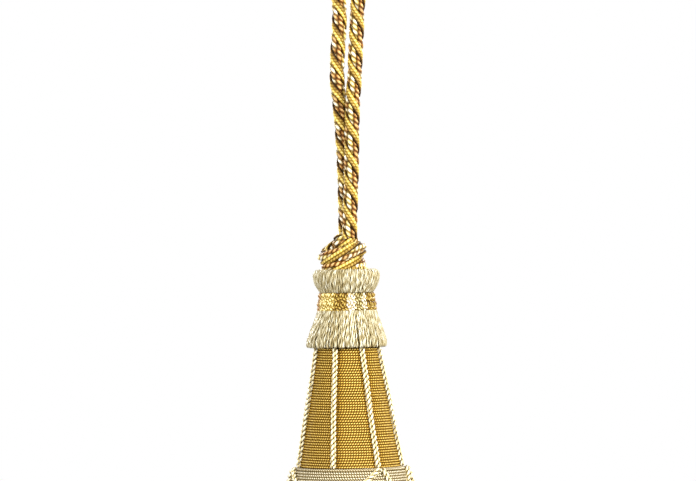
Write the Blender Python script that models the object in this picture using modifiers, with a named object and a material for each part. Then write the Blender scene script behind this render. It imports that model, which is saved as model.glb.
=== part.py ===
"""Silk tassel on a knotted, twisted hanging cord, in metres, with +Z up and the front facing -Y.

The origin is the point that the loop hangs on, under the top of its bight. The head is modelled in a
frame of its own, with its origin where the knot meets the ruff, and leans a little as a whole.
"""

import math

import bmesh
import bpy
import numpy as np
from mathutils import Vector

MM = 0.001

# Gap kept between pieces that touch
GAP = 0.3 * MM

# Head: where the knot meets the ruff, and how far the head leans towards +X
NECK_X = -0.6 * MM
NECK_Z = -112.8 * MM
LEAN_DEG = 1.2

# Hanging cord: two pairs of gimps and two thick plies between them, in an S twist
CORD_PITCH = 17.3 * MM
STEPS_A_PITCH = 11
# Half of its section, which the other half repeats: a thick ply, then a pair of gimps
CORD_SECTION = [
    # degrees, radius in mm
    (-20, 2.30),
    (20, 2.30),
    (49, 1.80),
    (69, 2.25),
    (90, 1.92),
    (111, 2.25),
    (131, 1.80),
]
# Its route, in mm: up the left leg, round the bight, down the right leg, which lies in front
CORD_ROUTE = [
    # x, y, z
    (-0.6, 2.45, -103.4),
    (-0.8, 2.45, -94.7),
    (-1.0, 2.4, -85.3),
    (-1.4, 2.3, -75.9),
    (-2.0, 2.0, -67.5),
    (-2.7, 1.5, -60.0),
    (-3.4, 0.7, -53.7),
    (-3.3, 0.1, -46.0),
    (-2.8, 0.0, -38.1),
    (-2.9, 0.0, -28.7),
    (-5.2, 0.0, -19.5),
    (-7.9, 0.0, -12.3),
    (-8.6, 0.0, -6.0),
    (-6.6, 0.0, -0.7),
    (-3.2, 0.0, 1.6),
    (0.0, 0.0, 2.3),
    (3.3, 0.0, 1.6),
    (6.9, 0.0, -0.7),
    (9.0, 0.0, -6.0),
    (8.3, 0.0, -12.3),
    (5.6, 0.0, -19.5),
    (3.2, 0.0, -28.7),
    (2.7, 0.0, -38.1),
    (2.3, -0.1, -46.0),
    (2.0, -0.7, -53.7),
    (1.5, -1.5, -60.0),
    (1.3, -2.0, -67.5),
    (1.2, -2.3, -75.9),
    (1.0, -2.4, -85.3),
    (0.7, -2.45, -94.7),
    (0.5, -2.45, -103.4),
]

# Knot: the cord wound in turns that rise to the right, in the head's frame
KNOT_CORD_RADIUS = 2.2 * MM
KNOT_CENTRE_Z = 4.2 * MM
KNOT_TOP_Z = 8.95 * MM
KNOT_FOOT_Z = -0.7 * MM
KNOT_CORE = 3.4 * MM
KNOT_RISE = 0.24
KNOT_START_DEG = 180.0
KNOT_POINTS_A_TURN = 72
# How the turns widen and fall, in mm from the knot's centre
KNOT_TURNS = [
    # turn, radius, height, shift in x
    (0.5, 1.9, 4.4, -0.8),
    (1.0, 3.9, 2.7, -0.9),
    (1.5, 5.2, 1.0, -1.0),
    (2.0, 5.2, -0.7, -0.9),
    (2.5, 4.7, -2.4, -0.6),
    (3.0, 4.1, -3.2, -0.3),
]
KNOT_COLUMNS = 44
KNOT_ROWS = 24

# Ruff, by distance below the neck. Its ribs are the bundles of yarn
RUFF_LOCKS = 40
RUFF_RIB = 0.28 * MM
RUFF_BODY = [
    # radius, depth in mm
    (0.0, 1.0),
    (6.9, 1.0),
    (7.9, 0.3),
    (8.9, 0.0),
    (9.9, 0.6),
    (10.4, 2.0),
    (10.1, 4.2),
    (9.2, 6.3),
    (7.6, 7.4),
    (7.7, 13.7),
    (9.2, 13.9),
    (9.5, 15.0),
    (0.0, 15.0),
]
RUFF_LOCK = [
    # radius of the lock's middle, depth, half its thickness, in mm
    (8.3, 14.3, 0.50),
    (9.6, 16.2, 0.66),
    (10.5, 18.8, 0.72),
    (11.6, 23.2, 0.78),
    (11.5, 25.2, 0.62),
]

# Braid round the ruff's waist, in two rows of lobes
BAND_LOBES = 24
BAND_LOBE = 0.3 * MM
BAND = [
    # radius, depth in mm, 1 where a lobe stands out
    (8.1, 7.8, 0),
    (8.7, 7.7, 0),
    (8.75, 9.3, 1),
    (8.75, 11.1, 0),
    (9.2, 12.1, 1),
    (9.3, 13.3, 0),
    (8.1, 13.3, 0),
]

# Cone and bulb of the head, by distance below the neck
CONE_STEPS = 40
CONE = [
    # radius, depth in mm
    (0.0, 15.4),
    (7.4, 15.4),
    (8.4, 18.4),
    (9.4, 24.4),
    (9.6, 25.6),
    (16.1, 61.9),
    (0.0, 61.9),
]
BULB = [
    # radius, depth in mm
    (0.0, 62.2),
    (17.3, 62.2),
    (17.9, 63.0),
    (18.6, 66.0),
    (19.1, 69.4),
    (18.9, 72.4),
    (17.8, 75.9),
    (16.2, 78.5),
    (15.1, 80.0),
    (0.0, 80.0),
]

# Cords laid down the cone, which part in two over the bulb
FINE_CORD_RADIUS = 0.75 * MM
CONE_CORD_TOP = 25.9 * MM
CONE_CORD_FOOT = 61.1 * MM
CONE_CORDS = [
    # angle at the top, angle at the foot, in degrees from the front, and 1 if it parts in two
    (-78.0, -78.0, 1),
    (-23.0, -18.7, 0),
    (26.5, 31.5, 1),
    (77.0, 78.0, 1),
    (129.0, 128.0, 1),
    (181.0, 180.0, 1),
    (231.0, 231.0, 1),
]
NET_START = 0.04
NET_END = 0.97
NET_HALF_GAP_DEG = 3.4
NET_POINTS = 10

# Skirt
HEADING_RADIUS = 14.9 * MM
HEADING_TOP = 80.3 * MM
HEADING_FOOT = 83.0 * MM
LOCK_ROOT = 81.7 * MM
LOCK_TIP = 155.0 * MM
LOCK_SWAY = 0.25 * MM
LOCK_UNEVEN = 1.2 * MM
SKIRT_RINGS = [
    # locks, radius at the root, radius at the tip, half a lock's thickness, in mm
    (42, 13.7, 20.2, 0.95),
    (30, 11.0, 16.2, 1.00),
    (18, 8.0, 11.8, 1.15),
    (8, 4.6, 7.0, 1.35),
    (1, 0.0, 0.0, 1.60),
]
# Where a skirt's lock is bent, as shares of its length, with its thickness there
LOCK_SHAPE = [
    # share, thickness
    (0.0, 0.85),
    (0.10, 0.95),
    (0.40, 1.15),
    (0.75, 1.20),
    (1.0, 0.90),
]

LOOKS = {
    # base colour, roughness
    "hanging_cord": ((0.72, 0.50, 0.20), 0.40),
    "cord_knot": ((0.72, 0.50, 0.20), 0.40),
    "ruff": ((0.80, 0.74, 0.56), 0.45),
    "ruff_band": ((0.70, 0.52, 0.22), 0.42),
    "gold_cone": ((0.66, 0.42, 0.10), 0.40),
    "cone_cord": ((0.78, 0.68, 0.45), 0.45),
    "bulb": ((0.80, 0.74, 0.56), 0.45),
    "net_cord": ((0.78, 0.68, 0.45), 0.45),
    "skirt": ((0.76, 0.66, 0.42), 0.48),
}


def clear_scene():
    for obj in list(bpy.data.objects):
        bpy.data.objects.remove(obj)


def collection(name, hidden=False):
    made = bpy.data.collections.new(name)
    made.hide_render = hidden
    bpy.context.scene.collection.children.link(made)
    return made


def material(name):
    colour, roughness = LOOKS[name]
    made = bpy.data.materials.get(name) or bpy.data.materials.new(name)
    made.use_nodes = True
    shader = made.node_tree.nodes["Principled BSDF"]
    shader.inputs["Base Color"].default_value = (*colour, 1.0)
    shader.inputs["Roughness"].default_value = roughness
    shader.inputs["Metallic"].default_value = 0.0
    return made


def piece(name, data, parent=None):
    """An object of the tassel, in its collection, with the material of its kind."""
    obj = bpy.data.objects.new(name, data)
    data.materials.append(material(name.rstrip("_0123456789")))
    TASSEL.objects.link(obj)
    obj.parent = parent
    return obj


def helper(obj):
    """Keeps a guide or an operand out of the object."""
    HELPERS.objects.link(obj)
    obj.hide_render = True
    obj.display_type = "WIRE"
    return obj


def smooth_route(points, spacing):
    """Points about that far apart on a Catmull-Rom curve through the given ones."""
    points = np.array(points, float)
    padded = np.vstack([2 * points[0] - points[1], points, 2 * points[-1] - points[-2]])
    t = np.linspace(0, 1, 24, endpoint=False)[:, None]
    spans = []
    for p0, p1, p2, p3 in zip(padded, padded[1:], padded[2:], padded[3:]):
        bend = 2 * p0 - 5 * p1 + 4 * p2 - p3
        spans.append(0.5 * (2 * p1 + (p2 - p0) * t + bend * t**2 + (3 * p1 - p0 - 3 * p2 + p3) * t**3))
    fine = np.vstack([*spans, points[-1:]])
    along = np.concatenate([[0], np.cumsum(np.linalg.norm(np.diff(fine, axis=0), axis=1))])
    stations = np.linspace(0, along[-1], round(along[-1] / spacing) + 1)
    return np.stack([np.interp(stations, along, fine[:, axis]) for axis in range(3)], axis=1)


def add_spline(curve, points, radii=None, tilts=None):
    spline = curve.splines.new("POLY")
    spline.points.add(len(points) - 1)
    spline.points.foreach_set("co", np.column_stack([points, np.ones(len(points))]).ravel())
    if radii is not None:
        spline.points.foreach_set("radius", radii)
    if tilts is not None:
        spline.points.foreach_set("tilt", tilts)


def tube_curve(name, resolution):
    curve = bpy.data.curves.new(name, "CURVE")
    curve.dimensions = "3D"
    curve.twist_mode = "MINIMUM"
    curve.use_fill_caps = True
    curve.bevel_resolution = resolution
    return curve


def turned(name, profile, steps, closed=False):
    """A profile of (radius, depth) points in mm, turned about the head's axis."""
    points = [(radius * MM, 0.0, -depth * MM) for radius, depth in profile]
    edges = [(i, i + 1) for i in range(len(points) - 1)]
    if closed:
        edges.append((len(points) - 1, 0))
    mesh = bpy.data.meshes.new(name)
    mesh.from_pydata(points, edges, [])
    obj = piece(name, mesh, HEAD)
    screw = obj.modifiers.new("Turn", "SCREW")
    screw.steps = screw.render_steps = steps
    screw.use_smooth_shade = True
    screw.use_merge_vertices = True
    screw.merge_threshold = 0.01 * MM
    return obj


def as_mesh(obj):
    """Makes the object's evaluated shape its own mesh, with the caps of a curve welded, facing out."""
    bpy.context.view_layer.update()
    evaluated = obj.evaluated_get(bpy.context.evaluated_depsgraph_get())
    mesh = bpy.data.meshes.new_from_object(evaluated)
    shape = bmesh.new()
    shape.from_mesh(mesh)
    bmesh.ops.remove_doubles(shape, verts=shape.verts, dist=0.001 * MM)
    bmesh.ops.recalc_face_normals(shape, faces=shape.faces)
    shape.to_mesh(mesh)
    shape.free()
    mesh.shade_smooth()
    mesh.set_sharp_from_angle(angle=math.radians(50))
    made = bpy.data.objects.new(obj.name, mesh)
    made.parent = obj.parent
    name = obj.name
    home = obj.users_collection[0]
    bpy.data.objects.remove(obj)
    home.objects.link(made)
    made.name = name
    return made


def fuse(body, locks):
    """Joins the roots of the locks to the body they grow from."""
    union = body.modifiers.new("Roots", "BOOLEAN")
    union.operation = "UNION"
    union.solver = "EXACT"
    union.object = locks


def around(radius, degrees, height):
    """A point at an angle from the front, counted towards +X."""
    angle = math.radians(degrees)
    return Vector((radius * math.sin(angle), -radius * math.cos(angle), height))


def hanging_cord():
    """The looped cord, its plies standing out in a lobed section that turns along the route."""
    section = bpy.data.curves.new("cord_section", "CURVE")
    section.dimensions = "2D"
    ring = []
    for half in (0, 180):
        for degrees, radius in CORD_SECTION:
            angle = math.radians(degrees + half)
            ring.append((radius * MM * math.cos(angle), radius * MM * math.sin(angle), 0.0))
    add_spline(section, np.array(ring))
    section.splines[0].use_cyclic_u = True
    guide = helper(bpy.data.objects.new("cord_section", section))

    route = smooth_route(np.array(CORD_ROUTE) * MM, CORD_PITCH / STEPS_A_PITCH)
    turn = 2 * math.pi / STEPS_A_PITCH
    curve = tube_curve("hanging_cord", 0)
    curve.bevel_mode = "OBJECT"
    curve.bevel_object = guide
    add_spline(curve, route, tilts=-turn * np.arange(len(route)))
    return as_mesh(piece("hanging_cord", curve))


def knot_route():
    """Points down the middle of the knotted cord, from its top turn to its foot."""
    table = np.array(KNOT_TURNS)
    turns = np.arange(table[0, 0], table[-1, 0], 1 / KNOT_POINTS_A_TURN)
    radius, height, shift = (np.interp(turns, table[:, 0], table[:, column]) * MM for column in (1, 2, 3))
    angle = math.radians(KNOT_START_DEG) + 2 * math.pi * turns
    x = shift + radius * np.sin(angle)
    y = -radius * np.cos(angle)
    return np.stack([x, y, KNOT_CENTRE_Z + height + KNOT_RISE * (x - shift)], axis=1)


def cord_knot():
    """A ball whose points are moved out to the knotted cord, flat where it meets the ruff and the cord."""
    centre = Vector((0.0, 0.0, KNOT_CENTRE_Z))
    route = knot_route() - np.array(centre)
    ball = bmesh.new()
    bmesh.ops.create_uvsphere(ball, u_segments=KNOT_COLUMNS, v_segments=KNOT_ROWS, radius=KNOT_CORE)
    for vertex in ball.verts:
        way = np.array(vertex.co.normalized())
        along = route @ way
        off = KNOT_CORD_RADIUS**2 - ((route - np.outer(along, way)) ** 2).sum(axis=1)
        reach = along[off > 0] + np.sqrt(off[off > 0])
        vertex.co = centre + Vector(way) * max(KNOT_CORE, reach.max(initial=0.0))
        vertex.co.z = min(max(vertex.co.z, KNOT_FOOT_Z), KNOT_TOP_Z)
    mesh = bpy.data.meshes.new("cord_knot")
    ball.to_mesh(mesh)
    ball.free()
    mesh.shade_smooth()
    return piece("cord_knot", mesh, HEAD)


def ruff():
    """The bound yarn: a waisted body with ribs, and the locks below its waist."""
    body = as_mesh(turned("ruff", RUFF_BODY, 2 * RUFF_LOCKS))
    for vertex in body.data.vertices:
        radius = math.hypot(vertex.co.x, vertex.co.y)
        if radius < RUFF_BODY[1][0] * MM / 2:
            continue
        angle = math.atan2(vertex.co.y, vertex.co.x)
        raised = round(angle * RUFF_LOCKS / math.pi) % 2
        scale = 1 + (raised - 0.5) * RUFF_RIB / radius
        vertex.co.x *= scale
        vertex.co.y *= scale
    curve = tube_curve("ruff_locks", 0)
    curve.bevel_depth = MM
    thickness = [half for _, _, half in RUFF_LOCK]
    for lock in range(RUFF_LOCKS):
        degrees = 360 * lock / RUFF_LOCKS
        longer = 1 + 0.012 * math.sin(2.3 * lock)
        points = [around(radius * MM, degrees, -depth * longer * MM) for radius, depth, _ in RUFF_LOCK]
        add_spline(curve, np.array(points), radii=thickness)
    locks = helper(bpy.data.objects.new("ruff_locks", curve))
    locks.parent = HEAD
    fuse(body, as_operand(locks))
    return body


def as_operand(obj):
    made = as_mesh(obj)
    made.hide_render = True
    made.display_type = "WIRE"
    return made


def ruff_band():
    """The braid, each of its lobes a point that stands out."""
    profile = [(radius, depth) for radius, depth, _ in BAND]
    band = as_mesh(turned("ruff_band", profile, 2 * BAND_LOBES, closed=True))
    lobe_depths = [depth * MM for _, depth, lobe in BAND if lobe]
    for vertex in band.data.vertices:
        if not any(abs(-vertex.co.z - depth) < GAP for depth in lobe_depths):
            continue
        angle = math.atan2(vertex.co.y, vertex.co.x)
        if round(angle * BAND_LOBES / math.pi) % 2:
            scale = 1 + BAND_LOBE / math.hypot(vertex.co.x, vertex.co.y)
            vertex.co.x *= scale
            vertex.co.y *= scale
    return band


def on_profile(profile, share):
    """(radius, height, outward normal) at a share of the way down the outer side of a turned profile."""
    points = np.array(profile[1:-1]) * MM
    lengths = np.linalg.norm(np.diff(points, axis=0), axis=1)
    along = np.concatenate([[0], np.cumsum(lengths)])
    at = share * along[-1]
    radius, depth = (np.interp(at, along, points[:, column]) for column in (0, 1))
    span = min(np.searchsorted(along, at, side="right"), len(lengths)) - 1
    out, down = (points[span + 1] - points[span]) / lengths[span]
    return radius, -depth, Vector((down, out))


def fine_cord(name, points):
    curve = tube_curve(name, 1)
    curve.bevel_depth = FINE_CORD_RADIUS
    add_spline(curve, np.array(points))
    return as_mesh(piece(name, curve, HEAD))


def cone_cords():
    """The cords laid straight down the cone, each a little off its neighbours' spacing."""
    (top_radius, top_depth), (foot_radius, foot_depth) = (np.array(point) * MM for point in CONE[4:6])
    slope = (foot_radius - top_radius) / (foot_depth - top_depth)
    stand_off = (GAP + FINE_CORD_RADIUS) * math.hypot(1, slope)
    for number, (top_degrees, foot_degrees, _) in enumerate(CONE_CORDS, start=1):
        points = []
        for share in np.linspace(0, 1, 5):
            depth = CONE_CORD_TOP + share * (CONE_CORD_FOOT - CONE_CORD_TOP)
            radius = top_radius + slope * (depth - top_depth) + stand_off
            degrees = top_degrees + share * (foot_degrees - top_degrees)
            points.append(around(radius, degrees, -depth))
        fine_cord(f"cone_cord_{number}", points)


def net_cords():
    """From each cord that parts, two cords arch over the bulb and meet those of its neighbours."""
    parting = [foot for _, foot, parts in CONE_CORDS if parts]
    ways = []
    for place, start in enumerate(parting):
        after = parting[(place + 1) % len(parting)] + 360 * (place + 1 == len(parting))
        ways.append((start + NET_HALF_GAP_DEG, (start + after) / 2 - NET_HALF_GAP_DEG))
        ways.append((after - NET_HALF_GAP_DEG, (start + after) / 2 + NET_HALF_GAP_DEG))
    for number, (start, end) in enumerate(ways, start=1):
        points = []
        for share in np.linspace(NET_START, NET_END, NET_POINTS):
            radius, height, normal = on_profile(BULB, share)
            degrees = start + (end - start) * math.sin(math.pi / 2 * share)
            out, up = normal * (GAP + FINE_CORD_RADIUS)
            points.append(around(radius + out, degrees, height + up))
        fine_cord(f"net_cord_{number}", points)


def skirt():
    """Rings of hanging locks, their roots fused in the heading."""
    rim = HEADING_RADIUS / MM
    top, foot = HEADING_TOP / MM, HEADING_FOOT / MM
    heading = as_mesh(turned("skirt", [(0, top), (rim, top), (rim, foot), (0, foot)], CONE_STEPS))
    curve = tube_curve("skirt_locks", 0)
    curve.bevel_depth = MM
    for ring, (count, root, tip, half) in enumerate(SKIRT_RINGS):
        for lock in range(count):
            turn = 360 * (lock + 0.5 * (ring % 2)) / count
            wave = 1.7 * lock + 2.1 * ring
            length = LOCK_TIP - LOCK_ROOT + LOCK_UNEVEN * math.sin(wave)
            points = []
            for share, _ in LOCK_SHAPE:
                spread = root + (tip - root) * share**0.8
                sway = LOCK_SWAY * share * math.sin(wave + 5 * share)
                point = around(spread * MM + sway, turn, -LOCK_ROOT - share * length)
                points.append(point)
            add_spline(curve, np.array(points), radii=[half * thickness for _, thickness in LOCK_SHAPE])
    locks = helper(bpy.data.objects.new("skirt_locks", curve))
    locks.parent = HEAD
    fuse(heading, as_operand(locks))
    return heading


clear_scene()
TASSEL = collection("silk_tassel")
HELPERS = collection("helpers", hidden=True)
HEAD = bpy.data.objects.new("head", None)
TASSEL.objects.link(HEAD)
HEAD.location = (NECK_X, 0.0, NECK_Z)
HEAD.rotation_euler = (0.0, -math.radians(LEAN_DEG), 0.0)

hanging_cord()
cord_knot()
ruff()
ruff_band()
turned("gold_cone", CONE, CONE_STEPS)
cone_cords()
turned("bulb", BULB, CONE_STEPS)
net_cords()
skirt()
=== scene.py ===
"""Looks of the silk tassel: its cords are plied, its head is wound and its fringes are yarn.

Shapes are worked out in millimetres. The head's are in its own frame, whose origin is where the knot
meets the ruff, with depth counted down from there.
"""

import math

import bpy
import numpy as np
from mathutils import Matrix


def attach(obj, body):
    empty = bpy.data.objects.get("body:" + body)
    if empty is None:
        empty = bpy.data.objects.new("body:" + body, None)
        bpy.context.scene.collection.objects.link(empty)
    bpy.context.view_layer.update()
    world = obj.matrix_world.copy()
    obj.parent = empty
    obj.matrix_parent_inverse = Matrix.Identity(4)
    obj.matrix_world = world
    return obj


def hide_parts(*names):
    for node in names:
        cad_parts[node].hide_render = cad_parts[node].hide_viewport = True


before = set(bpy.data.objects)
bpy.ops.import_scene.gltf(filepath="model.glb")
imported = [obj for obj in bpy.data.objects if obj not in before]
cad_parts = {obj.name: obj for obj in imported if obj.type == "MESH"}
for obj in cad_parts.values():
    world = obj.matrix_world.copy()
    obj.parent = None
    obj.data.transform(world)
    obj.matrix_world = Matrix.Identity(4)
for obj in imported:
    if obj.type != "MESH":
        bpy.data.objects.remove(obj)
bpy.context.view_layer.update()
rng = np.random.default_rng(11)

# Head: where the knot meets the ruff, and how far the head leans towards +X
NECK = np.array([-0.6, 0.0, -112.8])
LEAN = math.radians(1.2)
UP = np.array([0.0, 0.0, 1.0])

# Each silk where it is lit, linear; its shader paints shade on it between strands, darker and deeper in
# colour
GOLD = (0.96, 0.775, 0.275)
GIMP = (0.68, 0.54, 0.17)
# The second gimp of a pair: the gimp's colour as a painted shaded copy
SHADED_GIMP = (0.38, 0.26, 0.06)
PALE_GOLD = (0.78, 0.66, 0.30)
DEEP_GOLD = (0.40, 0.28, 0.06)
PEACH = (0.52, 0.32, 0.12)
CREAM = (0.58, 0.535, 0.38)
STRAW = (0.72, 0.65, 0.42)
BUFF = (0.79, 0.72, 0.50)
IVORY = (0.84, 0.78, 0.55)
WHITE = (0.80, 0.75, 0.60)
OLIVE = (0.44, 0.37, 0.17)


def unit(v):
    return v / np.linalg.norm(v, axis=-1, keepdims=True)


def lengths(path):
    """How far along a path each of its points lies."""
    steps = np.linalg.norm(np.diff(path, axis=-2), axis=-1)
    return np.concatenate([np.zeros(steps.shape[:-1] + (1,)), np.cumsum(steps, axis=-1)], axis=-1)


def read_off(at, stations, rows):
    """Each column of rows, which belong to the stations, at other places."""
    return [np.interp(at, stations, column) for column in rows.T]


def smooth(points, spacing):
    """Points about that far apart on a Catmull-Rom curve through the given ones."""
    steps_a_span = 24
    points = np.array(points, float)
    padded = np.vstack([2 * points[0] - points[1], points, 2 * points[-1] - points[-2]])
    t = np.linspace(0, 1, steps_a_span, endpoint=False)[:, None]
    spans = []
    for p0, p1, p2, p3 in zip(padded, padded[1:], padded[2:], padded[3:]):
        bend = 2 * p0 - 5 * p1 + 4 * p2 - p3
        spans.append(0.5 * (2 * p1 + (p2 - p0) * t + bend * t**2 + (3 * p1 - p0 - 3 * p2 + p3) * t**3))
    fine = np.vstack([*spans, points[-1:]])
    along = lengths(fine)
    stations = np.linspace(0, along[-1], max(2, round(along[-1] / spacing) + 1))
    return np.stack(read_off(stations, along, fine), axis=1)


def straight(points, spacing):
    """The same points with more between them, which a smooth curve then keeps to."""
    points = np.array(points, float)
    along = lengths(points)
    stations = np.linspace(0, along[-1], round(along[-1] / spacing) + 1)
    return np.stack(read_off(stations, along, points), axis=1)


def head(points):
    """From the head's frame to the tassel's."""
    x, y, z = np.moveaxis(points, -1, 0)
    c, s = math.cos(-LEAN), math.sin(-LEAN)
    return np.stack([x * c + z * s, y, -x * s + z * c], axis=-1) + NECK


def round_axis(radius, angle, depth):
    """Points at an angle from the front, counted towards +X, in radians."""
    return np.stack(np.broadcast_arrays(radius * np.sin(angle), -radius * np.cos(angle), -depth), axis=-1)


def frames(path):
    """Normals that follow a path without turning about it."""
    tangent = unit(np.gradient(path, axis=0))
    normal = np.empty_like(tangent)
    normal[0] = unit(np.cross(tangent[0], [0.0, 1.0, 0.0]))
    for i in range(1, len(path)):
        normal[i] = unit(normal[i - 1] - tangent[i] * (normal[i - 1] @ tangent[i]))
    return normal, np.cross(tangent, normal)


def facing_front(path, i):
    """The angle of the front about the path, at its point i."""
    a, b = frames(path)
    return math.atan2(-b[i, 1], -a[i, 1])


class Yarn:
    """Collects swept yarns into one mesh.

    Each point keeps its silk's tint, how far its side is lit in painted shade, the twist of its plies, how
    far the hollows between them stay lit in that painted shade, and its place."""

    def __init__(self):
        self.points, self.faces, self.tints = [], [], []
        self.values = {"crest": [], "twist": [], "hollow": [], "along": [], "around": []}
        self.count = 0

    def add(self, paths, outward, section, tint, crest, twist, hollow, open_section=False):
        """Yarns along paths (S, N, 3). section is the coordinates outward and sideways (.., M)."""
        paths, outward = np.broadcast_arrays(paths, outward)
        out, side = section
        s, n, _ = paths.shape
        m = out.shape[-1]
        tangent = unit(np.gradient(paths, axis=1))
        outward = unit(outward - tangent * (outward * tangent).sum(-1, keepdims=True))
        across = np.cross(tangent, outward)
        out = np.broadcast_to(out, (s, n, m))[..., None]
        side = np.broadcast_to(side, (s, n, m))[..., None]
        points = paths[:, :, None] + out * outward[:, :, None] + side * across[:, :, None]
        index = np.arange(s * n * m).reshape(s, n, m) + self.count
        after = index[:, :, 1:] if open_section else np.roll(index, -1, axis=2)
        before = index[:, :, :-1] if open_section else index
        quads = np.stack([before[:, :-1], before[:, 1:], after[:, 1:], after[:, :-1]], axis=-1)
        self.faces.append(quads.reshape(-1, 4))
        self.points.append(points.reshape(-1, 3))
        self.tints.append(np.broadcast_to(tint, (s, n, m, 3)).reshape(-1, 3))
        place = lengths(paths)[..., None], np.arange(m) / m
        for values, value in zip(self.values.values(), (crest, twist, hollow, *place)):
            values.append(np.broadcast_to(value, (s, n, m)).ravel())
        self.count += s * n * m

    def lining(self, profile, tint):
        """A turned surface just under the yarns, painted in full shade."""
        sides = 72
        profile = np.array(profile, float)
        angles = np.linspace(0, 2 * math.pi, sides + 1)
        points = round_axis(profile[:, :1], angles[None], profile[:, 1:])
        zero = np.zeros(points.shape[:2])
        index = np.arange(zero.size).reshape(zero.shape) + self.count
        quads = np.stack([index[:-1, :-1], index[1:, :-1], index[1:, 1:], index[:-1, 1:]], axis=-1)
        self.faces.append(quads.reshape(-1, 4))
        self.points.append(points.reshape(-1, 3))
        self.tints.append(np.broadcast_to(tint, (zero.size, 3)))
        for values in self.values.values():
            values.append(zero.ravel())
        self.count += zero.size

    def build(self, name, material, slot, *nodes, in_head=True):
        points = np.concatenate(self.points)
        points = (head(points) if in_head else points) * 0.001
        faces = np.concatenate(self.faces)
        mesh = bpy.data.meshes.new(name)
        mesh.vertices.add(len(points))
        mesh.vertices.foreach_set("co", points.ravel())
        mesh.loops.add(faces.size)
        mesh.loops.foreach_set("vertex_index", faces.ravel())
        mesh.polygons.add(len(faces))
        mesh.polygons.foreach_set("loop_start", np.arange(0, faces.size, 4))
        mesh.polygons.foreach_set("use_smooth", np.ones(len(faces), bool))
        mesh.update(calc_edges=True)
        tint = mesh.color_attributes.new("tint", "FLOAT_COLOR", "POINT")
        colours = np.column_stack([np.concatenate(self.tints), np.ones(len(points))])
        tint.data.foreach_set("color", colours.ravel())
        for label, values in self.values.items():
            mesh.attributes.new(label, "FLOAT", "POINT").data.foreach_set("value", np.concatenate(values))
        mesh.materials.append(material)
        obj = bpy.data.objects.new(name, mesh)
        bpy.context.scene.collection.objects.link(obj)
        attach(obj, "root")
        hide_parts(*nodes)
        return obj


def ring(sides):
    """Angles round a section from the outward direction, with the seam inside."""
    return 2 * math.pi * (np.arange(sides) + 0.5) / sides - math.pi


def lobed(radius, theta, twist, hollow_share, relief):
    """Sections with lobes: hollow_share of the radius between them, and relief more on their crests."""
    rho = radius * (hollow_share + relief * np.abs(np.cos(twist)))
    return rho * np.cos(theta), rho * np.sin(theta)


def ends(n, rows=2):
    """1 along a yarn, falling to nearly nothing at its ends."""
    least = 0.0004
    at = np.minimum(np.arange(n), np.arange(n)[::-1]) / rows
    return np.sqrt(np.clip(1 - (1 - np.clip(at, 0, 1)) ** 2, least, 1))


def flank(theta, low=0.3, high=0.9):
    """How far a strand's side is lit, as painted shade: nothing deep between strands, 1 on its crest."""
    rise = np.clip((np.cos(theta) - low) / (high - low), 0, 1)
    return rise * rise * (3 - 2 * rise)


# Strands of the cords: lobes is how many finer yarns a strand is plied of, pitch the length of one lobe,
# relief how far the lobes stand out, hollow how far it is lit between them, and edge the cosines from
# outward at which its side is dark and fully lit
# The core is painted in full shade: its edge leaves no side of it lit
CORE = {
    "radius": 1.1,
    "sides": 6,
    "lobes": 2,
    "pitch": 2.4,
    "relief": 0.0,
    "hollow": 0.0,
    "edge": (1, 2),
}
GIMP_PLY = {
    "radius": 0.62,
    "sides": 8,
    "lobes": 1,
    "pitch": 1.1,
    "relief": 0.1,
    "hollow": 0.75,
    "edge": (0.05, 1.0),
}
THICK_PLY = {
    "radius": 0.84,
    "sides": 9,
    "lobes": 2,
    "pitch": 1.4,
    "relief": 0.26,
    "hollow": 0.3,
    "edge": (-0.7, 0.95),
}
FINE_PLY = {
    "radius": 0.46,
    "sides": 8,
    "lobes": 2,
    "pitch": 1.1,
    "relief": 0.2,
    "hollow": 0.6,
    "edge": (-0.9, 0.2),
}


def ply(yarn, line, outward, silks, radius, sides, lobes, pitch, relief, hollow, edge, lean=0.0):
    """One strand along a line, with finer lobes that turn about it, each of its own silk."""
    theta = ring(sides)
    phase = theta + 2 * math.pi * lengths(line)[:, None] / (pitch * lobes)
    twist = phase * lobes / 2
    section = lobed(radius * ends(len(line))[:, None], theta, twist, 1 - relief, relief)
    which = (np.cos(phase) < 0).astype(int) if len(silks) == 2 else np.zeros(phase.shape, int)
    tint = np.array(silks)[which]
    yarn.add(line[None], outward[None], section, tint, flank(theta - lean, *edge), twist, hollow)


GIMPS = [
    # angle from the pair's middle, silk, how far its lit side leans, in radians
    (-0.33, GIMP, 0.25),
    # the second gimp in the painted shaded copy of the gimp's colour
    (0.33, SHADED_GIMP, -0.5),
]
# From the cord's middle to a gimp's
GIMP_REACH = 1.80
# The three yarns of a thick ply: their silks, how far their middle is from the cord's and each of them
# from it, and their turns to one of the cord
THICK_SILKS = ((WHITE, PALE_GOLD), (PEACH, WHITE), (PEACH,))
THICK_REACH = 1.02
THICK_ORBIT = 0.60
THICK_LAY = -2.0


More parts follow.
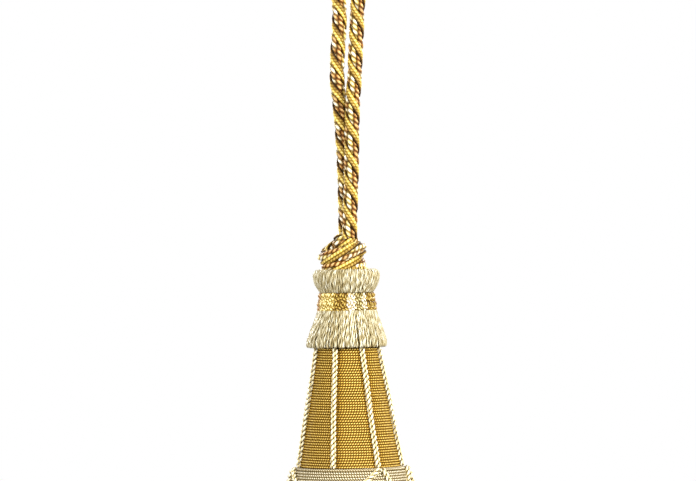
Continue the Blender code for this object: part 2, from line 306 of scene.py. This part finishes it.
def rope(yarn, path, turn, phase):
    """Two pairs of gold gimp and, between them, two thick plies of cream and peach, round a core.

    turn is the angle of the first pair along the path, and phase that of the white yarns in their plies."""
    a, b = frames(path)

    def way(angle):
        return a * np.cos(angle)[:, None] + b * np.sin(angle)[:, None]

    coarse = slice(None, None, 2)
    coarser = slice(None, None, 4)
    ply(yarn, path[coarser], a[coarser], [DEEP_GOLD], **CORE)
    for half in (0.0, math.pi):
        for beside, tint, lean in GIMPS:
            out = way(turn + half + beside)
            ply(yarn, path + GIMP_REACH * out, out, [tint], **GIMP_PLY, lean=lean)
        out, across = (way(turn + half + quarter)[coarse] for quarter in (math.pi / 2, math.pi))
        for number, silks in enumerate(THICK_SILKS):
            orbit = (THICK_LAY * turn[coarse] + phase[coarse] + number * 2 * math.pi / 3)[:, None]
            away = out * np.cos(orbit) + across * np.sin(orbit)
            ply(yarn, path[coarse] + THICK_REACH * out + THICK_ORBIT * away, away, silks, **THICK_PLY)


# Silk's shader. Fibres: noise cells to a millimetre of a yarn's length, and round it
FIBRES_ALONG = 0.9
FIBRES_AROUND = 16.0
# Where a ply's lobe starts to be lit, how fast it then is, and how far at most
RIDGE_FOOT = 0.4
RIDGE_SLOPE = 2.0
RIDGE_TOP = 1.05
# Painted shade in the hollows: what is left of each channel there, and how much it deepens their silk
SHADE_WARMTH = (1, 0.76, 0.34)
SHADE_GAMMA = 2.6
# Roughness that the hollows and the fibres add, and that the crests lose
HOLLOW_DULLNESS = 0.42
FIBRE_DULLNESS = 0.16
CREST_GLOSS = 0.5
# Bump of the fibres, its height in metres, and how strongly the silk reflects
FIBRE_BUMP = 0.35
FIBRE_HEIGHT = 0.0001
SHINE = 0.3


def silk(name, roughness, streak, glint=(1, 0.9, 0.66), mottle=(260, 0.3), deep=0.07):
    """Lustrous yarn: plies with painted shade in the hollows between them, fibres as streaks and glints of
    their own tint.

    mottle is the scale and strength of its patches, and deep the light that is left in its hollows."""
    made = bpy.data.materials.new(name)
    made.use_nodes = True
    nodes, links = made.node_tree.nodes, made.node_tree.links
    shader = nodes["Principled BSDF"]

    def node(kind, **settings):
        new = nodes.new(kind)
        for key, value in settings.items():
            setattr(new, key, value)
        return new

    def math_node(operation, a, b=0.0, clamp=False):
        new = node("ShaderNodeMath", operation=operation, use_clamp=clamp)
        for socket, value in zip(new.inputs, (a, b)):
            if isinstance(value, (int, float)):
                socket.default_value = value
            else:
                links.new(value, socket)
        return new.outputs[0]

    def noise(vector, scale, detail):
        new = node("ShaderNodeTexNoise")
        new.inputs["Scale"].default_value = scale
        new.inputs["Detail"].default_value = detail
        links.new(vector, new.inputs["Vector"])
        return new.outputs["Fac"]

    tint = node("ShaderNodeAttribute", attribute_name="tint")
    crest, twist, hollow, along, around = (
        node("ShaderNodeAttribute", attribute_name=label).outputs["Fac"]
        for label in ("crest", "twist", "hollow", "along", "around")
    )
    place = node("ShaderNodeCombineXYZ")
    links.new(math_node("MULTIPLY", along, FIBRES_ALONG), place.inputs[0])
    links.new(math_node("MULTIPLY", around, FIBRES_AROUND), place.inputs[1])
    fibres = noise(place.outputs[0], 1.0, 3.0)
    scale, strength = mottle
    patches = noise(node("ShaderNodeTexCoord").outputs["Object"], scale, 2.0)

    # How far it is lit, as painted shade: from 0 deep between the strands to 1 on the crests of the plies
    lobe = math_node("ABSOLUTE", math_node("COSINE", twist))
    ridge = math_node("MULTIPLY", math_node("SUBTRACT", lobe, RIDGE_FOOT), RIDGE_SLOPE, clamp=True)
    lit = math_node("ADD", math_node("MULTIPLY", ridge, math_node("SUBTRACT", RIDGE_TOP, hollow)), hollow)
    lit = math_node("MULTIPLY", crest, lit)

    # Brightness: streaks and patches of the fibres, times the painted shade
    level = math_node("MULTIPLY", math_node("SUBTRACT", fibres, 0.5), 2 * streak)
    level = math_node("ADD", level, math_node("MULTIPLY", patches, strength))
    depth = math_node("ADD", math_node("MULTIPLY", lit, 1 - deep), deep)
    level = math_node("MULTIPLY", math_node("ADD", level, 1 - strength / 2), depth)

    # Colour, with painted shade that is deeper and warmer in the hollows
    gamma = math_node("SUBTRACT", SHADE_GAMMA, math_node("MULTIPLY", lit, SHADE_GAMMA - 1))
    shaded_tint = node("ShaderNodeGamma")
    links.new(tint.outputs["Color"], shaded_tint.inputs["Color"])
    links.new(gamma, shaded_tint.inputs["Gamma"])
    shade_filter = node("ShaderNodeVectorMath", operation="MULTIPLY_ADD")
    shade_filter.inputs[1].default_value = [1 - share for share in SHADE_WARMTH]
    shade_filter.inputs[2].default_value = SHADE_WARMTH
    links.new(lit, shade_filter.inputs[0])
    warm_shaded_tint = node("ShaderNodeVectorMath", operation="MULTIPLY")
    links.new(shaded_tint.outputs[0], warm_shaded_tint.inputs[0])
    links.new(shade_filter.outputs[0], warm_shaded_tint.inputs[1])
    colour = node("ShaderNodeVectorMath", operation="SCALE")
    links.new(warm_shaded_tint.outputs[0], colour.inputs[0])
    links.new(level, colour.inputs["Scale"])
    links.new(colour.outputs[0], shader.inputs["Base Color"])

    relief = node("ShaderNodeBump")
    relief.inputs["Strength"].default_value = FIBRE_BUMP
    relief.inputs["Distance"].default_value = FIBRE_HEIGHT
    links.new(fibres, relief.inputs["Height"])
    links.new(relief.outputs["Normal"], shader.inputs["Normal"])

    # Glossy on the crests and dull in the hollows
    dull = math_node("ADD", math_node("MULTIPLY", fibres, FIBRE_DULLNESS), roughness + HOLLOW_DULLNESS)
    dull = math_node("SUBTRACT", dull, math_node("MULTIPLY", lit, CREST_GLOSS), clamp=True)
    links.new(dull, shader.inputs["Roughness"])
    shader.inputs["Specular IOR Level"].default_value = SHINE
    shader.inputs["Specular Tint"].default_value = (*glint, 1)
    return made


ROPE_SILK = silk("rope_silk", roughness=0.36, streak=0.4, glint=(1, 0.88, 0.55), mottle=(700, 1.2), deep=0.1)
FLOSS = silk("floss", roughness=0.42, streak=0.3, mottle=(260, 0.1), deep=0.12)
GOLD_CORD = silk("gold_cord", roughness=0.32, streak=0.3, glint=(1, 0.86, 0.5))
CREAM_CORD = silk("cream_cord", roughness=0.42, streak=0.2, mottle=(260, 0.15))
FRINGE = silk("fringe", roughness=0.4, streak=0.3)


# Hanging cord
CORD_ROUTE = [
    # x, y, z
    (-0.6, 2.45, -103.4),
    (-0.8, 2.45, -94.7),
    (-1.0, 2.4, -85.3),
    (-1.4, 2.3, -75.9),
    (-2.0, 2.0, -67.5),
    (-2.7, 1.5, -60.0),
    (-3.4, 0.7, -53.7),
    (-3.3, 0.1, -46.0),
    (-2.8, 0.0, -38.1),
    (-2.9, 0.0, -28.7),
    (-5.2, 0.0, -19.5),
    (-7.9, 0.0, -12.3),
    (-8.6, 0.0, -6.0),
    (-6.6, 0.0, -0.7),
    (-3.2, 0.0, 1.6),
    (0.0, 0.0, 2.3),
    (3.3, 0.0, 1.6),
    (6.9, 0.0, -0.7),
    (9.0, 0.0, -6.0),
    (8.3, 0.0, -12.3),
    (5.6, 0.0, -19.5),
    (3.2, 0.0, -28.7),
    (2.7, 0.0, -38.1),
    (2.3, -0.1, -46.0),
    (2.0, -0.7, -53.7),
    (1.5, -1.5, -60.0),
    (1.3, -2.0, -67.5),
    (1.2, -2.3, -75.9),
    (1.0, -2.4, -85.3),
    (0.7, -2.45, -94.7),
    (0.5, -2.45, -103.4),
]
# Spacing of the points that are worked out on the route, and the length of one turn of the twist
CORD_STEP = 0.165
CORD_PITCH = 17.3
# Heights at which a gold pair lies in front, on the left leg and on the right
LEFT_PAIR, RIGHT_PAIR = -31.2, -33.7
# Phase of the white yarns in the left leg and in the right, and the shares of the cord's length between
# which the one goes over into the other
CORD_PHASES = (2.7, 0.6)
PHASE_CHANGE = (0.4, 0.6)


def hanging_cord():
    """An S twist, with a gold pair in front of the left leg at one height and of the right at another."""
    path = smooth(CORD_ROUTE, CORD_STEP)
    along = lengths(path)
    half = len(path) // 2
    left = np.abs(path[:half, 2] - LEFT_PAIR).argmin()
    right = half + np.abs(path[half:, 2] - RIGHT_PAIR).argmin()
    apart = along[right] - along[left]
    start = facing_front(path, left)
    swing = facing_front(path, right) - start
    laid = round((swing + 2 * math.pi * apart / CORD_PITCH) / math.pi) * math.pi
    turn = start - (laid - swing) / apart * (along - along[left])
    yarn = Yarn()
    rope(yarn, path, turn, np.interp(along / along[-1], PHASE_CHANGE, CORD_PHASES))
    cord = yarn.build("hanging_rope", ROPE_SILK, "four_ply_cord", "hanging_cord", in_head=False)


KNOT_TURNS = [
    # turn, radius, height, shift in x, rise to the right
    (0.0, 0.5, 9.6, 0.2, 0.24),
    (0.25, 1.2, 9.0, -0.4, 0.24),
    (0.5, 1.7, 8.5, -0.8, 0.24),
    (0.75, 2.8, 8.1, -0.8, 0.24),
    (1.0, 3.8, 8.0, -0.9, 0.30),
    (1.25, 5.3, 5.8, -1.2, 0.38),
    (1.5, 5.4, 4.8, -1.0, 0.38),
    (1.75, 5.3, 4.4, -0.9, 0.36),
    (2.0, 5.1, 3.1, -0.9, 0.30),
    (2.25, 4.9, 1.9, -0.8, 0.26),
    (2.5, 4.9, 1.0, -0.7, 0.24),
    (2.75, 4.6, 0.7, -0.5, 0.24),
    (3.0, 4.0, 0.5, -0.4, 0.24),
]
# Spacing of the rows that are worked out between those of the table
KNOT_STEP = 0.02
# The turn at which a gold pair faces the front, how often the cord twists in a turn, and between which
# turns it loses the quarter twist that it starts with
KNOT_FRONT = 1.46
KNOT_TWIST = 1.04
KNOT_EASE = (0.6, 1.0)
KNOT_PHASE = 3.5


def cord_knot():
    """The same cord, less tightly twisted, with a gold pair across the front of its middle turn."""
    turn, radius, height, shift, rise = smooth(KNOT_TURNS, KNOT_STEP).T
    angle = math.pi + 2 * math.pi * turn
    x = shift + radius * np.sin(angle)
    path = np.stack([x, -radius * np.cos(angle), height + rise * (x - shift)], axis=1)
    front = np.abs(turn - KNOT_FRONT).argmin()
    twist = facing_front(path, front) - 2 * math.pi * KNOT_TWIST * (turn - KNOT_FRONT)
    twist = twist + np.interp(turn, KNOT_EASE, [math.pi / 2, 0])
    yarn = Yarn()
    rope(yarn, path, twist, np.full(len(path), KNOT_PHASE))
    yarn.build("knotted_rope", ROPE_SILK, "four_ply_cord", "cord_knot")


def spaced(count, uneven):
    """Angles round the axis, each up to that share of a step off its place."""
    return 2 * math.pi * (np.arange(count) + rng.uniform(-uneven, uneven, count)) / count


# Yarns: sides, hollows and relief of their sections, and how far their flanks are lit
YARN_SIDES = 6
YARN_HOLLOW = 0.7
YARN_RELIEF = 0.36
YARN_FLANK = 0.2
# Ranges that each yarn draws from: length of its wave in millimetres, and shares of the wave's height, of
# the lay and of the thickness; and how bright one is at most
WAVE_LENGTHS = (2.2, 4.2)
WAVE_HEIGHTS = (0.5, 1.2)
LAYS = (0.75, 1.3)
THICKNESSES = (0.85, 1.15)
BRIGHTEST = 1.1
# How far a wave also lifts a yarn, as a share, how far ahead of its sway, and the least radius to sway at
WAVE_LIFT = 0.5
LIFT_AHEAD = 1.5
SWAY_RADIUS = 4


def yarns(yarn, profile, angles, spacing, radius, tint, wave, hollow, slant,
          pitch=5.0, depths=None, spread=None, dullest=0.8):
    """Two-ply yarns side by side down a turned profile of (radius, depth).

    wave is how far one sways, slant how unevenly they lean, depths how much deeper each one's tip is, and
    spread how far one stands out, by its angle and the share of its length."""
    line = smooth(profile, spacing)
    along = lengths(line)[None]
    count = len(angles)
    phase = rng.uniform(0, 2 * math.pi, (count, 1))
    length = rng.uniform(*WAVE_LENGTHS, (count, 1))
    amount = rng.uniform(*WAVE_HEIGHTS, (count, 1)) * wave
    sway = amount * np.sin(2 * math.pi * along / length + phase)
    sway = sway + rng.normal(0, slant, (count, 1)) * along
    lift = WAVE_LIFT * wave * np.sin(2 * math.pi * along / length + phase + LIFT_AHEAD)
    r, depth = line.T
    if spread is not None:
        r = r + spread(angles[:, None], along / along[0, -1])
    if depths is not None:
        depth = depth + depths[:, None] * along / along[0, -1]
    turn = angles[:, None] + sway / np.maximum(r, SWAY_RADIUS)
    paths = round_axis(r + lift, turn, depth)
    slope = unit(np.gradient(line, axis=0))
    outward = round_axis(1.0, turn, 0.0) * slope[None, :, 1:] + UP * slope[None, :, :1]
    theta = ring(YARN_SIDES)
    lay = pitch * rng.uniform(*LAYS, (count, 1))
    twist = theta - (2 * math.pi * along / lay + phase)[..., None]
    size = radius * rng.uniform(*THICKNESSES, (count, 1)) * ends(len(line), 1)
    section = lobed(size[..., None], theta, twist, YARN_HOLLOW, YARN_RELIEF)
    crest = rng.uniform(dullest, BRIGHTEST, (count, 1, 1)) * (YARN_FLANK + (1 - YARN_FLANK) * flank(theta))
    yarn.add(paths, outward, section, tint, crest, twist, hollow)


RUFF_TOP = [
    # radius, depth
    (5.4, 1.3),
    (6.6, 0.75),
    (8.0, 0.35),
    (9.2, 0.35),
    (9.95, 0.9),
    (10.2, 1.9),
    (10.05, 3.4),
    (9.7, 4.6),
    (9.1, 5.7),
    (8.4, 6.8),
    (7.9, 7.5),
]
# Small loops where the ruff closes round the knot
LOOPS = [
    # radius, depth
    (5.3, 0.0),
    (5.8, -0.5),
    (6.2, -0.6),
    (6.5, -0.1),
    (6.6, 0.7),
]
RUFF_SKIRT = [
    # radius, depth
    (8.1, 12.2),
    (8.95, 13.0),
    (9.4, 14.3),
    (10.0, 16.0),
    (10.8, 18.2),
    (11.5, 20.4),
    (12.05, 22.0),
    (12.2, 23.6),
    (11.9, 24.5),
]
RUFF_LAYERS = [
    # count, how far inside the profile
    (160, 0.0),
    (136, 0.5),
]
RUFF_YARNS = 176
LOOP_COUNT = 56
# Range of the lower part's tips
RUFF_TIPS = (-0.3, 0.1)
# How far the surface under the yarns is inside them: at the top, with a drop, and in the lower part
TOP_BED = 0.35
TOP_BED_DROP = 0.1
SKIRT_BED = 1.0
RUFF_LOOK = {"tint": CREAM, "hollow": 0.55, "slant": 0.012, "pitch": 7.0, "dullest": 0.72}
# How far the lower part flares at its tips, and how much more at the left than in front
FLARE = 0.15
FLARE_LEFT = 0.4


def ruff():
    yarn = Yarn()
    angles = spaced(RUFF_YARNS, uneven=0.15)
    yarns(yarn, RUFF_TOP, angles, spacing=0.44, radius=0.28, wave=0.1, **RUFF_LOOK)
    yarn.lining([(r - TOP_BED, d + TOP_BED_DROP) for r, d in RUFF_TOP], CREAM)
    loops = 2 * math.pi * np.arange(LOOP_COUNT) / LOOP_COUNT
    yarns(yarn, LOOPS, loops, spacing=0.15, radius=0.34, tint=PALE_GOLD, wave=0.05, hollow=0.4, slant=0.15)
    yarn.build("ruff_head", FLOSS, "cream_silk", "ruff")

    def flare(angle, share):
        return share**2 * (FLARE - FLARE_LEFT * np.sin(angle))

    yarn = Yarn()
    for count, inset in RUFF_LAYERS:
        angles = spaced(count, uneven=0.25)
        profile = [(r - inset, d) for r, d in RUFF_SKIRT]
        tips = {"depths": rng.uniform(*RUFF_TIPS, count), "spread": flare}
        yarns(yarn, profile, angles, spacing=0.46, radius=0.3, wave=0.12, **tips, **RUFF_LOOK)
    yarn.lining([(r - SKIRT_BED, d) for r, d in RUFF_SKIRT[:-2]], CREAM)
    yarn.build("ruff_fringe", FLOSS, "cream_silk", "ruff")


BRAID_BLOCKS = [
    # from this angle in degrees from the front, silk
    (-180, DEEP_GOLD),
    (-150, PALE_GOLD),
    (-118, WHITE),
    (-100, DEEP_GOLD),
    (-84, PEACH),
    (-68, PALE_GOLD),
    (-27, DEEP_GOLD),
    (1, WHITE),
    (18, OLIVE),
    (33, WHITE),
    (43, DEEP_GOLD),
    (82, PEACH),
    (96, PALE_GOLD),
    (132, DEEP_GOLD),
    (162, WHITE),
]
BRAID_ROWS = [
    # radius, depth, half height
    (8.15, 8.95, 1.15),
    (8.55, 11.65, 1.15),
]
BRAID_BED = [
    # radius, depth
    (7.5, 7.3),
    (7.8, 7.7),
    (7.9, 10.2),
    (8.2, 10.9),
    (8.4, 13.0),
    (7.8, 13.3),
]
BRAID_STRANDS = 3
BRAID_WAVES = 19
BRAID_STEPS = 24
# How far a strand passes over its neighbours, its radius, and the length of a lobe of its plies
BRAID_OVER = 0.38
BRAID_RADIUS = 0.50
BRAID_LOBE = 0.9


def braid():
    yarn = Yarn()
    starts = np.array([start for start, _ in BRAID_BLOCKS])
    silks = np.array([tint for _, tint in BRAID_BLOCKS])
    angle = np.linspace(-math.pi, math.pi, BRAID_WAVES * BRAID_STEPS + 1)
    theta = ring(8)
    tint = silks[np.clip(np.searchsorted(starts, np.degrees(angle), side="right") - 1, 0, None)]
    outward = round_axis(1.0, angle, 0.0)[None]
    for row, (radius, depth, half) in enumerate(BRAID_ROWS):
        for strand in range(BRAID_STRANDS):
            phase = BRAID_WAVES * angle + 2 * math.pi * strand / BRAID_STRANDS + row
            reach = radius + BRAID_OVER * np.sin(2 * phase)
            path = round_axis(reach, angle, depth + half * np.sin(phase))[None]
            twist = theta + math.pi * lengths(path)[..., None] / BRAID_LOBE
            section = lobed(BRAID_RADIUS, theta, twist, hollow_share=0.85, relief=0.2)
            crest = flank(theta, low=0.1, high=0.8)
            yarn.add(path, outward, section, tint[:, None], crest, twist, hollow=0.45)
    yarn.lining(BRAID_BED, GOLD)
    yarn.build("ruff_braid", GOLD_CORD, "silk_braid", "ruff_band")


# Wound cords: the part of their section that shows, in degrees from outward, its hollows and relief, the
# length of a lobe of their plies and of a step along them, and how unevenly they lie
WOUND_SECTION = [-80, -30, 0, 30, 80]
WOUND_HOLLOW = 0.74
WOUND_RELIEF = 0.34
WOUND_LOBE = 0.8
WOUND_STEP = WOUND_LOBE / 4
WOUND_UNEVEN = 0.03
# How finely a profile and each turn about it are worked out
PROFILE_STEP = 0.05
STEPS_A_TURN = 400
# How far the surface under the wound cord is inside it
WOUND_BED = 0.3


def winding(yarn, profile, pitch, radius, tint, hand, crest, hollow, shade=None):
    """A two-ply cord wound down a turned profile of (radius, depth), falling to the right in front.

    crest is how far it is lit across its section, and shade how far at an angle and a depth."""
    line = smooth(profile, PROFILE_STEP)
    down = lengths(line)
    turns = down[-1] / pitch
    # Turn by turn, with steps of one length
    at = np.linspace(0, turns, int(turns * STEPS_A_TURN))
    r, _ = read_off(at * pitch, down, line)
    around = np.concatenate([[0], np.cumsum(2 * math.pi * r[:-1] * np.diff(at))])
    at = np.interp(np.arange(0, around[-1], WOUND_STEP), around, at)
    r, depth = read_off(at * pitch, down, line)
    dr, dd = read_off(at * pitch, down, unit(np.gradient(line, axis=0)))
    angle = 2 * math.pi * at + math.pi
    # Two waves that don't repeat from turn to turn
    uneven = WOUND_UNEVEN * np.sin(0.9 * angle) + WOUND_UNEVEN * np.sin(2.3 * angle + 1)
    path = round_axis(r + uneven, angle, depth)[None]
    outward = (round_axis(1.0, angle, 0.0) * dd[:, None] + UP * dr[:, None])[None]
    theta = np.radians(WOUND_SECTION)
    twist = theta - hand * math.pi * lengths(path)[..., None] / WOUND_LOBE
    crest = np.array(crest) * (1 if shade is None else shade(angle, depth)[:, None])
    section = lobed(radius, theta, twist, WOUND_HOLLOW, WOUND_RELIEF)
    yarn.add(path, outward, section, tint, crest, twist, hollow, open_section=True)
    yarn.lining([(r - WOUND_BED, d) for r, d in profile], tint)


CONE = [
    # radius, depth
    (8.1, 19.0),
    (8.9, 23.0),
    (9.25, 25.3),
    (15.75, 61.7),
]
BULB = [
    # radius, depth
    (15.9, 62.1),
    (17.1, 62.35),
    (17.6, 63.2),
    (18.3, 66.0),
    (18.75, 69.4),
    (18.55, 72.4),
    (17.5, 75.9),
    (15.9, 78.5),
    (14.9, 80.0),
]
# The underside of the base, lined and so painted in full shade
BULB_FLOOR = [
    # radius, depth
    (14.6, 79.9),
    (7.0, 79.9),
    (0.1, 79.9),
]
CONE_CORDS = [
    # angle at the top, angle at the foot, in degrees from the front, and 1 if it parts in two
    (-78.0, -78.0, 1),
    (-23.0, -18.7, 0),
    (26.5, 31.5, 1),
    (77.0, 78.0, 1),
    (129.0, 128.0, 1),
    (181.0, 180.0, 1),
    (231.0, 231.0, 1),
]
# Depths of the ends of the cords that are laid down the cone
CORDS_TOP = 24.0
CORDS_FOOT = 61.6
# From a wound surface to the middle of a fine cord that is laid on it
CORD_LIFT = 0.85
# Shade on the cone's winding beside both edges of a laid cord and, wider, at its right:
# strength, how far from the cord's middle, and width
EDGE_SHADE = (0.5, 1.0, 0.45)
RIGHT_SHADE = (0.25, 1.6, 1.0)


def cone_radius(depth):
    (top_radius, top), (foot_radius, foot) = CONE[2:]
    return top_radius + (depth - top) * (foot_radius - top_radius) / (foot - top)


def shaded(away, strength, place, width):
    return 1 - strength * np.exp(-(((away - place) / width) ** 2))


def beside_cords(angle, depth):
    """How far the cone's winding is lit: less in the shade of the laid cords, most of all right of them."""
    share = (depth - CORDS_TOP) / (CORDS_FOOT - CORDS_TOP)
    lit = np.ones_like(angle)
    for top, foot, _ in CONE_CORDS:
        turned = angle - np.radians(top + share * (foot - top))
        away = ((turned + math.pi) % (2 * math.pi) - math.pi) * cone_radius(depth)
        lit = lit * shaded(np.abs(away), *EDGE_SHADE) * shaded(away, *RIGHT_SHADE)
    return lit


def cone():
    yarn = Yarn()
    winding(
        yarn,
        straight(CONE, spacing=2.0),
        pitch=0.803,
        radius=0.42,
        tint=GOLD,
        hand=-1,
        crest=(0, 0.22, 1, 0.22, 0),
        hollow=0.0,
        shade=beside_cords,
    )
    yarn.build("cone_winding", GOLD_CORD, "gold_silk_cord", "gold_cone")


def bulb():
    yarn = Yarn()
    winding(
        yarn,
        BULB,
        pitch=0.84,
        radius=0.44,
        tint=WHITE,
        hand=1,
        crest=(0.05, 0.6, 1, 0.6, 0.05),
        hollow=0.1,
    )
    yarn.lining(BULB_FLOOR, STRAW)
    yarn.build("bulb_winding", CREAM_CORD, "cream_silk_cord", "bulb")


# Fine cords: the length of one turn, how far each of their two plies is from the middle, and how many
# points one has where it is straight and where it is arched
FINE_PITCH = 3.44
FINE_REACH = 0.48
STRAIGHT_POINTS = 170
ARCH_POINTS = 120


def fine_cord(name, path, node):
    """Two plies in a Z twist."""
    yarn = Yarn()
    turn = 2 * math.pi * lengths(path) / FINE_PITCH + rng.uniform(0, 6)
    a, b = frames(path)
    for angle, tint in ((turn, IVORY), (turn + math.pi, BUFF)):
        away = a * np.cos(angle)[:, None] + b * np.sin(angle)[:, None]
        ply(yarn, path + FINE_REACH * away, away, [tint], **FINE_PLY)
    yarn.build(name, CREAM_CORD, "two_ply_cord", node)


def cone_cords():
    share = np.linspace(0, 1, STRAIGHT_POINTS)
    depth = CORDS_TOP + share * (CORDS_FOOT - CORDS_TOP)
    for number, (top, foot, _) in enumerate(CONE_CORDS, start=1):
        angle = np.radians(top + share * (foot - top))
        path = round_axis(cone_radius(depth) + CORD_LIFT, angle, depth)
        fine_cord(f"laid_cord_{number}", path, f"cone_cord_{number}")


# Net: degrees from a laid cord to each of its two halves, and from an arch's end to the middle between
# two laid cords, and how far down the base the arches go
NET_ROOT = 1.6
NET_GAP = 3.4
NET_SHARE = 0.98


def net_cords():
    line = smooth(BULB[1:], spacing=0.2)
    down = lengths(line)
    share = np.linspace(0, NET_SHARE, ARCH_POINTS)
    r, depth = read_off(share * down[-1], down, line)
    dr, dd = read_off(share * down[-1], down, unit(np.gradient(line, axis=0)))
    parting = [foot for _, foot, parts in CONE_CORDS if parts]
    arches = []
    for start, after in zip(parting, [*parting[1:], parting[0] + 360]):
        middle = (start + after) / 2
        arches.append((start + NET_ROOT, middle - NET_GAP))
        arches.append((after - NET_ROOT, middle + NET_GAP))
    for number, (begin, finish) in enumerate(arches, start=1):
        angle = np.radians(begin + (finish - begin) * np.sin(math.pi / 2 * share))
        path = round_axis(r + CORD_LIFT * dd, angle, depth - CORD_LIFT * dr)
        fine_cord(f"arched_cord_{number}", path, f"net_cord_{number}")


SKIRT = [
    # radius, depth
    (12.9, 78.6),
    (14.3, 80.0),
    (15.4, 82.0),
    (16.1, 85.5),
    (16.4, 95.0),
    (17.6, 114.0),
    (19.1, 136.0),
    (20.4, 154.9),
]
SKIRT_LAYERS = [
    # how far inside the profile, count
    (0.0, 130),
    (0.8, 122),
    (1.6, 114),
    (2.6, 104),
]
SKIRT_SILKS = np.array([CREAM, CREAM, CREAM, IVORY, PALE_GOLD, GIMP])
# Bundles of yarn inside the fringe: how many, and their middle's radius at the root and the tip
BUNDLES = [
    # count, root, tip
    (34, 11.4, 16.2),
    (24, 8.2, 12.6),
    (16, 5.6, 8.8),
    (9, 3.0, 5.2),
    (3, 1.0, 1.6),
]
# Depths of a bundle's root, bend and tip, and the share of its way out that it has gone at its bend
BUNDLE_ROOT = 80.4
BUNDLE_BEND = 118.0
BUNDLE_TIP = 154.9
BEND_SHARE = 0.6
# Ranges of the tips
BUNDLE_TIPS = (-1.6, 0.6)
SKIRT_TIPS = (-1.4, 1.0)
SKIRT_UNEVEN = 0.2
SKIRT_SLANT = 0.004


def skirt():
    yarn = Yarn()

    def silks(count):
        return SKIRT_SILKS[rng.integers(0, len(SKIRT_SILKS), count)][:, None, None]

    for count, root, tip in BUNDLES:
        angles = spaced(count, SKIRT_UNEVEN)
        tint = silks(count)
        profile = [
            (root, BUNDLE_ROOT),
            (root + BEND_SHARE * (tip - root), BUNDLE_BEND),
            (tip, BUNDLE_TIP),
        ]
        depths = rng.uniform(*BUNDLE_TIPS, count)
        yarns(
            yarn,
            profile,
            angles,
            spacing=5.5,
            radius=1.35,
            tint=tint,
            wave=0.0,
            hollow=0.5,
            slant=SKIRT_SLANT,
            pitch=9.0,
            depths=depths,
        )
    for inset, count in SKIRT_LAYERS:
        angles = spaced(count, SKIRT_UNEVEN)
        profile = [(r - inset, d) for r, d in SKIRT]
        tint = silks(count)
        depths = rng.uniform(*SKIRT_TIPS, count)
        yarns(
            yarn,
            profile,
            angles,
            spacing=3.2,
            radius=0.46,
            tint=tint,
            wave=0.0,
            hollow=0.45,
            slant=SKIRT_SLANT,
            depths=depths,
        )
    yarn.build("hanging_fringe", FRINGE, "silk_fringe", "skirt")


# The photo: its width, a pixel, and the height of its top edge, in metres, and its middle row
PHOTO_WIDTH = 0.2175
PIXEL = 0.0003125
PHOTO_TOP = -0.02874
MIDDLE_ROW = 240.5
CAMERA_DISTANCE = 1.4
SENSOR = 36


def camera():
    data = bpy.data.cameras.new("photo_camera")
    data.lens = SENSOR * CAMERA_DISTANCE / PHOTO_WIDTH
    data.sensor_width = SENSOR
    data.clip_start = 0.05
    data.clip_end = 50
    obj = bpy.data.objects.new("photo_camera", data)
    obj.location = (0, -CAMERA_DISTANCE, PHOTO_TOP - MIDDLE_ROW * PIXEL)
    obj.rotation_euler = (math.radians(90), 0, 0)
    bpy.context.scene.collection.objects.link(obj)
    bpy.context.scene.camera = obj


LIGHTS = [
    # name, azimuth and elevation in degrees, distance and size in metres, power in watts
    ("key", 52, 14, 1.2, 0.3, 26),
    ("front", 8, 14, 1.2, 0.25, 10),
    ("fill", -56, 8, 1.4, 0.5, 22),
    ("back_right", 148, 25, 1.2, 0.5, 14),
    ("back_left", -150, 15, 1.2, 0.5, 12),
    ("below", 180, -38, 1.2, 0.5, 14),
]
LIGHTS_AIM = [0, 0, -0.12]
SKY = 0.3


def light(name, azimuth, elevation, distance, size, power):
    """A softbox aimed at the tassel. Azimuth counts from the front towards +X."""
    data = bpy.data.lights.new(name, "AREA")
    data.size = size
    data.energy = power
    obj = bpy.data.objects.new(name, data)
    a, e = math.radians(azimuth), math.radians(elevation)
    way = np.array([math.sin(a) * math.cos(e), -math.cos(a) * math.cos(e), math.sin(e)])
    obj.location = way * distance + LIGHTS_AIM
    obj.rotation_euler = (math.radians(90) - e, 0, a)
    bpy.context.scene.collection.objects.link(obj)


def studio():
    """Soft lights, and a white ground that only the camera sees at its full brightness."""
    for row in LIGHTS:
        light(*row)
    world = bpy.data.worlds.new("studio")
    world.use_nodes = True
    nodes, links = world.node_tree.nodes, world.node_tree.links
    sky = nodes["Background"]
    sky.inputs["Color"].default_value = (1, 1, 1, 1)
    sky.inputs["Strength"].default_value = SKY
    ground = nodes.new("ShaderNodeBackground")
    ground.inputs["Color"].default_value = (1, 1, 1, 1)
    mix = nodes.new("ShaderNodeMixShader")
    links.new(nodes.new("ShaderNodeLightPath").outputs["Is Camera Ray"], mix.inputs[0])
    links.new(sky.outputs[0], mix.inputs[1])
    links.new(ground.outputs[0], mix.inputs[2])
    links.new(mix.outputs[0], nodes["World Output"].inputs["Surface"])
    bpy.context.scene.world = world
    bpy.context.scene.view_settings.view_transform = "Standard"


camera()
studio()
hanging_cord()
cord_knot()
ruff()
braid()
cone()
bulb()
cone_cords()
net_cords()
skirt()
